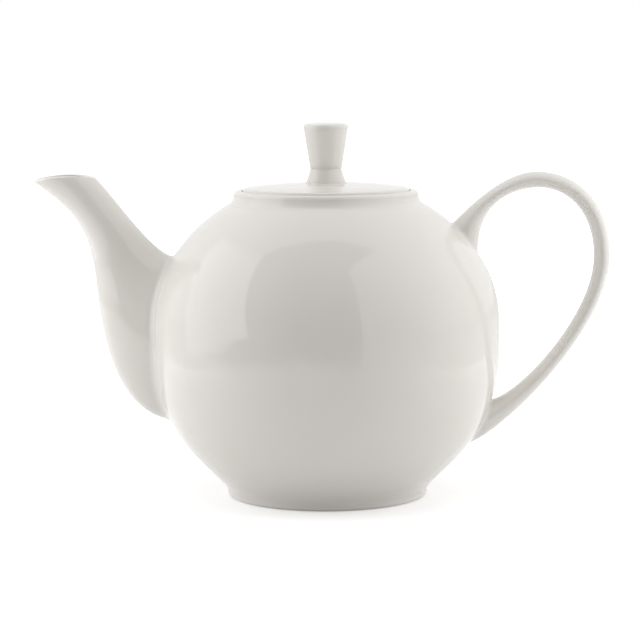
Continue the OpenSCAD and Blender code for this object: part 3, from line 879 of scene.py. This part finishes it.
class TEAPOT_OT_lid(Operator):
    """Turn the lid plate with its vent, and the flange under it."""
    bl_idname = "teapot.lid"
    bl_label = "Lid"

    def execute(self, context):
        scene = context.scene
        lid, segments, material = scene.teapot_lid, scene.teapot_body.segments, glaze(scene)
        under_round, vent_drop = 0.9 * MM, 0.35 * MM
        edge_z = lid.top_z - lid.crown
        crown_r = lid.lid_r - lid.edge_round
        pad_r = lid.knob_base_r + 0.6 * MM
        profile = [(r, lid.low_z) for r in (0, lid.flange_r - 8 * MM, lid.flange_r)]
        profile += arc(lid.lid_r - under_round, lid.low_z + under_round, under_round, -90, 0)
        profile += arc(crown_r, edge_z - lid.edge_round, lid.edge_round, 0, 90, 12)
        profile += [(r, edge_z + lid.crown * (1 - (1 - (crown_r - r) / (crown_r - pad_r)) ** 2))
                    for r in spread(crown_r, pad_r, 24)[1:]]
        profile += [(4 * MM, lid.top_z), (0, lid.top_z)]
        plate = lathe("lid_plate", profile, segments, material, [(lid.knob_base_r, lid.top_z, 1.8 * MM, 0.9)])
        ends = [Vector((0, lid.vent_y, z)) for z in (lid.low_z, lid.top_z - vent_drop)]
        cut_holes(plate, [(*ends, lid.vent_d / 2, 0.4 * MM, 0.5 * MM)])
        ride(plate, "lid", "glaze", "lid_disc")
        tip = lid.flange_t / 3
        inner = lid.flange_r - lid.flange_t
        profile = [(inner, lid.low_z)]
        profile += arc(inner + tip, lid.flange_z + tip, tip, 180, 270, 6)
        profile += arc(lid.flange_r - tip, lid.flange_z + tip, tip, 270, 360, 6)
        profile += [(lid.flange_r, lid.low_z)]
        pools = [(lid.flange_r, lid.low_z, 1.5 * MM, 0.8)]
        skirt = lathe("lid_skirt", profile, segments, material, pools, closed=True)
        ride(skirt, "lid", "glaze", "lid_flange")
        return {"FINISHED"}


class TEAPOT_OT_knob(Operator):
    """Turn the waisted knob."""
    bl_idname = "teapot.knob"
    bl_label = "Knob"

    def execute(self, context):
        scene = context.scene
        lid = scene.teapot_lid
        crown, slip, sink = 0.5 * MM, 0.7 * MM, 0.2 * MM
        foot_r = lid.knob_base_r + slip
        flare = lid.knob_base_r - lid.knob_waist_r
        waist_z = lid.top_z + lid.knob_waist_h
        cone_z = waist_z + 0.3 * MM
        shoulder_z = lid.knob_top_z - crown - lid.knob_round
        top_r = lid.knob_r - lid.knob_round
        crease = ((-0.12, 0.1), (0.02, 0.28))
        profile = [(0, lid.top_z - sink), (foot_r, lid.top_z - sink)]
        profile += [(foot_r - slip * sin(a), lid.top_z + slip * (1 - cos(a)))
                    for a in map(radians, range(0, 81, 10))]
        profile += [(lid.knob_base_r - flare * (1 - (1 - s) ** 1.25),
                     lid.top_z + slip + (lid.knob_waist_h - slip) * s) for s in spread(0, 1, 14)[1:]]
        profile += [(lid.knob_waist_r + r * MM, waist_z + z * MM) for r, z in crease]
        cone = zip(spread(lid.knob_waist_r, lid.knob_r, 10), spread(cone_z, shoulder_z, 10))
        profile += list(cone)[1:]
        profile += arc(top_r, shoulder_z, lid.knob_round, 8, 90, 10)
        profile += [(top_r * (1 - s), shoulder_z + lid.knob_round + crown * (1 - (1 - s) ** 2))
                    for s in spread(0, 1, 8)[1:-1]]
        profile += [(0, lid.knob_top_z)]
        pools = [(lid.knob_waist_r, waist_z, 0.9 * MM, 1.0), (foot_r, lid.top_z, 1.6 * MM, 0.9)]
        piece = lathe("knob", profile, scene.teapot_body.segments // 2, glaze(scene), pools)
        ride(piece, "lid", "glaze", "lid_knob")
        return {"FINISHED"}


class TEAPOT_OT_stage(Operator):
    """Set up the floor, the sky, the lamps and the camera."""
    bl_idname = "teapot.stage"
    bl_label = "Stage"

    def execute(self, context):
        studio = context.scene.teapot_studio
        add_floor(studio)
        add_sky(studio)
        add_flag()
        add_card(studio)
        add_lamp("top_lamp", studio.top, (0, -0.1, 1.30), (0, -0.1, 1.0), (1, 0, 0), (1.7, 1.2))
        for name, hand, brightness in (("left_lamp", -1, studio.left), ("right_lamp", 1, studio.right)):
            x = 0.42 * hand
            add_lamp(name, brightness, (x, 0.02, 0.16), (x, 0.02, 0.07), (0.1, -hand, 0), (0.46, 0.48))
        add_camera(studio)
        context.scene.view_settings.view_transform = "Standard"
        return {"FINISHED"}


def seen_directly(tree):
    """1 for rays that come from the camera, a reflection or a transmission."""
    path = tree.nodes.new("ShaderNodeLightPath").outputs
    return math_node(tree, "MAXIMUM", path["Is Camera Ray"],
                     math_node(tree, "MAXIMUM", path["Is Glossy Ray"], path["Is Transmission Ray"]))


def matt_material(name, base, roughness=1.0, glow=0.0):
    """A matt material that may glow white; returns it with its shader's inputs."""
    material = bpy.data.materials.new(name)
    material.use_nodes = True
    shader = material.node_tree.nodes["Principled BSDF"].inputs
    shader["Base Color"].default_value = (*base, 1.0)
    shader["Roughness"].default_value = roughness
    shader["Specular IOR Level"].default_value = 0.0
    shader["Emission Color"].default_value = (1, 1, 1, 1)
    shader["Emission Strength"].default_value = glow
    return material, shader


def add_floor(studio):
    """A white floor that keeps the object's shadow and runs out into white."""
    near_r, rise = 0.16, 2.5
    material, shader = matt_material("floor_paper", studio.floor, 0.9)
    tree = material.node_tree
    calc = partial(math_node, tree)
    away = tree.nodes.new("ShaderNodeVectorMath")
    away.operation = "LENGTH"
    tree.links.new(tree.nodes.new("ShaderNodeTexCoord").outputs["Object"], away.inputs[0])
    far = calc("MULTIPLY", calc("SUBTRACT", away.outputs["Value"], near_r), rise, clamp=True)
    camera_ray = tree.nodes.new("ShaderNodeLightPath").outputs["Is Camera Ray"]
    far = calc("MULTIPLY", calc("MULTIPLY", far, camera_ray), studio.floor_glow)
    near = calc("MULTIPLY", seen_directly(tree), studio.floor_lift)
    tree.links.new(calc("ADD", near, far), shader["Emission Strength"])
    bm = bmesh.new()
    rings = [[bm.verts.new((r * cos(a), r * sin(a), 0)) for a in turns(96)]
             for r in (0.1, 0.3, 0.8, 2.0, 4.0)]
    bm.faces.new(rings[0])
    bridge(bm, rings[::-1])
    add_object("floor", bm, material)


def add_sky(studio):
    """Even light from all round, which the camera and reflections see as white."""
    world = bpy.data.worlds.new("studio_sky")
    world.use_nodes = True
    tree = world.node_tree
    calc = partial(math_node, tree)
    background = tree.nodes["Background"].inputs
    background["Color"].default_value = (1, 1, 1, 1)
    seen = seen_directly(tree)
    strength = calc("ADD", seen, calc("MULTIPLY", calc("SUBTRACT", 1.0, seen), studio.sky))
    tree.links.new(strength, background["Strength"])
    bpy.context.scene.world = world


def facing(azimuth, r, z):
    """Point at a radius and height, its azimuth in degrees to the right of straight ahead."""
    return Vector((r * sin(radians(azimuth)), -r * cos(radians(azimuth)), z))


def add_sheet(name, rows, material):
    """A bent sheet through rows of points, which only reflections see."""
    bm = bmesh.new()
    bridge(bm, [[bm.verts.new(p) for p in row] for row in rows], closed=False)
    sheet = add_object(name, bm, material)
    sheet.visible_camera = False
    sheet.visible_diffuse = False
    sheet.visible_shadow = False


def add_flag():
    """A dark hood in front of and above the pot, which the glaze reflects."""
    material, _ = matt_material("flag_cloth", (0.040, 0.032, 0.028))
    wall = ((0.54, 0.0, -82, 22), (0.58, 0.4, -82, 21), (0.63, 0.8, -84, 22), (0.72, 1.2, -76, 21))
    rows = [[facing(a, r, z) for a in spread(left, right)] for r, z, left, right in wall]
    rows.append([Vector((x, -0.15, 1.2)) for x in spread(-0.68, 0.52)])
    add_sheet("flag", rows, material)


def add_card(studio):
    """A bright bent card on the left, which the glaze reflects."""
    material, _ = matt_material("card_light", (0, 0, 0), 0.5, studio.key)
    card_r = 0.5
    edges = ((-98, 0.007, -48, 0.049, 5),
             (-103, 0.19, -52, 0.19, 1),
             (-118, 0.36, -56, 0.33, 1),
             (-126, 0.50, -75, 0.87, 1))
    add_sheet("card", [[facing(left + (right - left) * u, card_r, low + (high - low) * u ** bend)
                        for u in spread(0, 1)] for left, low, right, high, bend in edges], material)


def add_lamp(name, brightness, place, back, side, size):
    """A soft box of the given brightness: back points away from what it lights, side along its width."""
    light = bpy.data.lights.new(name, "AREA")
    light.shape = "RECTANGLE"
    light.size, light.size_y = size
    light.energy = brightness * pi * size[0] * size[1]
    lamp = bpy.data.objects.new(name, light)
    z = Vector(back).normalized()
    x = (Vector(side) - z * Vector(side).dot(z)).normalized()
    y = z.cross(x)
    lamp.matrix_world = Matrix.Translation(place) @ Matrix((x, y, z)).transposed().to_4x4()
    lamp.visible_glossy = False
    bpy.context.scene.collection.objects.link(lamp)


def add_camera(studio):
    """The camera in front of the pot, a little above it."""
    camera = bpy.data.cameras.new("camera")
    camera.sensor_width = 36.0
    camera.lens = studio.camera_lens
    camera.clip_start = 0.05
    eye = bpy.data.objects.new("camera", camera)
    eye.matrix_world = (Matrix.Translation((0, -studio.camera_distance, studio.camera_z))
                        @ Matrix.Rotation(studio.camera_yaw, 4, "Z")
                        @ Matrix.Rotation(pi / 2 - studio.camera_pitch, 4, "X")
                        @ Matrix.Rotation(studio.camera_roll, 4, "Z"))
    bpy.context.scene.collection.objects.link(eye)
    bpy.context.scene.camera = eye


class TEAPOT_PT_panel(Panel):
    """Lists the steps that build the teapot."""
    bl_idname = "TEAPOT_PT_panel"
    bl_label = "Porcelain Teapot"
    bl_space_type = "VIEW_3D"
    bl_region_type = "UI"
    bl_category = "Teapot"

    def draw(self, context):
        for step in STEPS:
            self.layout.operator(step.bl_idname)
        for group in SIZE_GROUPS:
            box = self.layout.box()
            sizes = getattr(context.scene, group)
            for name in sizes.__annotations__:
                box.prop(sizes, name)


STEPS = (TEAPOT_OT_shell, TEAPOT_OT_foot, TEAPOT_OT_rim, TEAPOT_OT_spout, TEAPOT_OT_handle, TEAPOT_OT_lid,
         TEAPOT_OT_knob, TEAPOT_OT_stage)
SIZE_GROUPS = {"teapot_body": TeapotBody, "teapot_spout": TeapotSpout, "teapot_handle": TeapotHandle,
               "teapot_lid": TeapotLid, "teapot_glaze": TeapotGlaze, "teapot_studio": TeapotStudio}
CLASSES = (*SIZE_GROUPS.values(), *STEPS, TEAPOT_PT_panel)


def register():
    """Registers the classes and hangs the sizes on the scene."""
    for cls in CLASSES:
        bpy.utils.register_class(cls)
    for name, group in SIZE_GROUPS.items():
        setattr(bpy.types.Scene, name, PointerProperty(type=group))


def unregister():
    """Takes away what register added."""
    for name in SIZE_GROUPS:
        delattr(bpy.types.Scene, name)
    for cls in reversed(CLASSES):
        bpy.utils.unregister_class(cls)


def main():
    register()
    bpy.ops.teapot.shell()
    bpy.ops.teapot.foot()
    bpy.ops.teapot.rim()
    bpy.ops.teapot.spout()
    bpy.ops.teapot.handle()
    bpy.ops.teapot.lid()
    bpy.ops.teapot.knob()
    bpy.ops.teapot.stage()


if __name__ == "__main__":
    main()
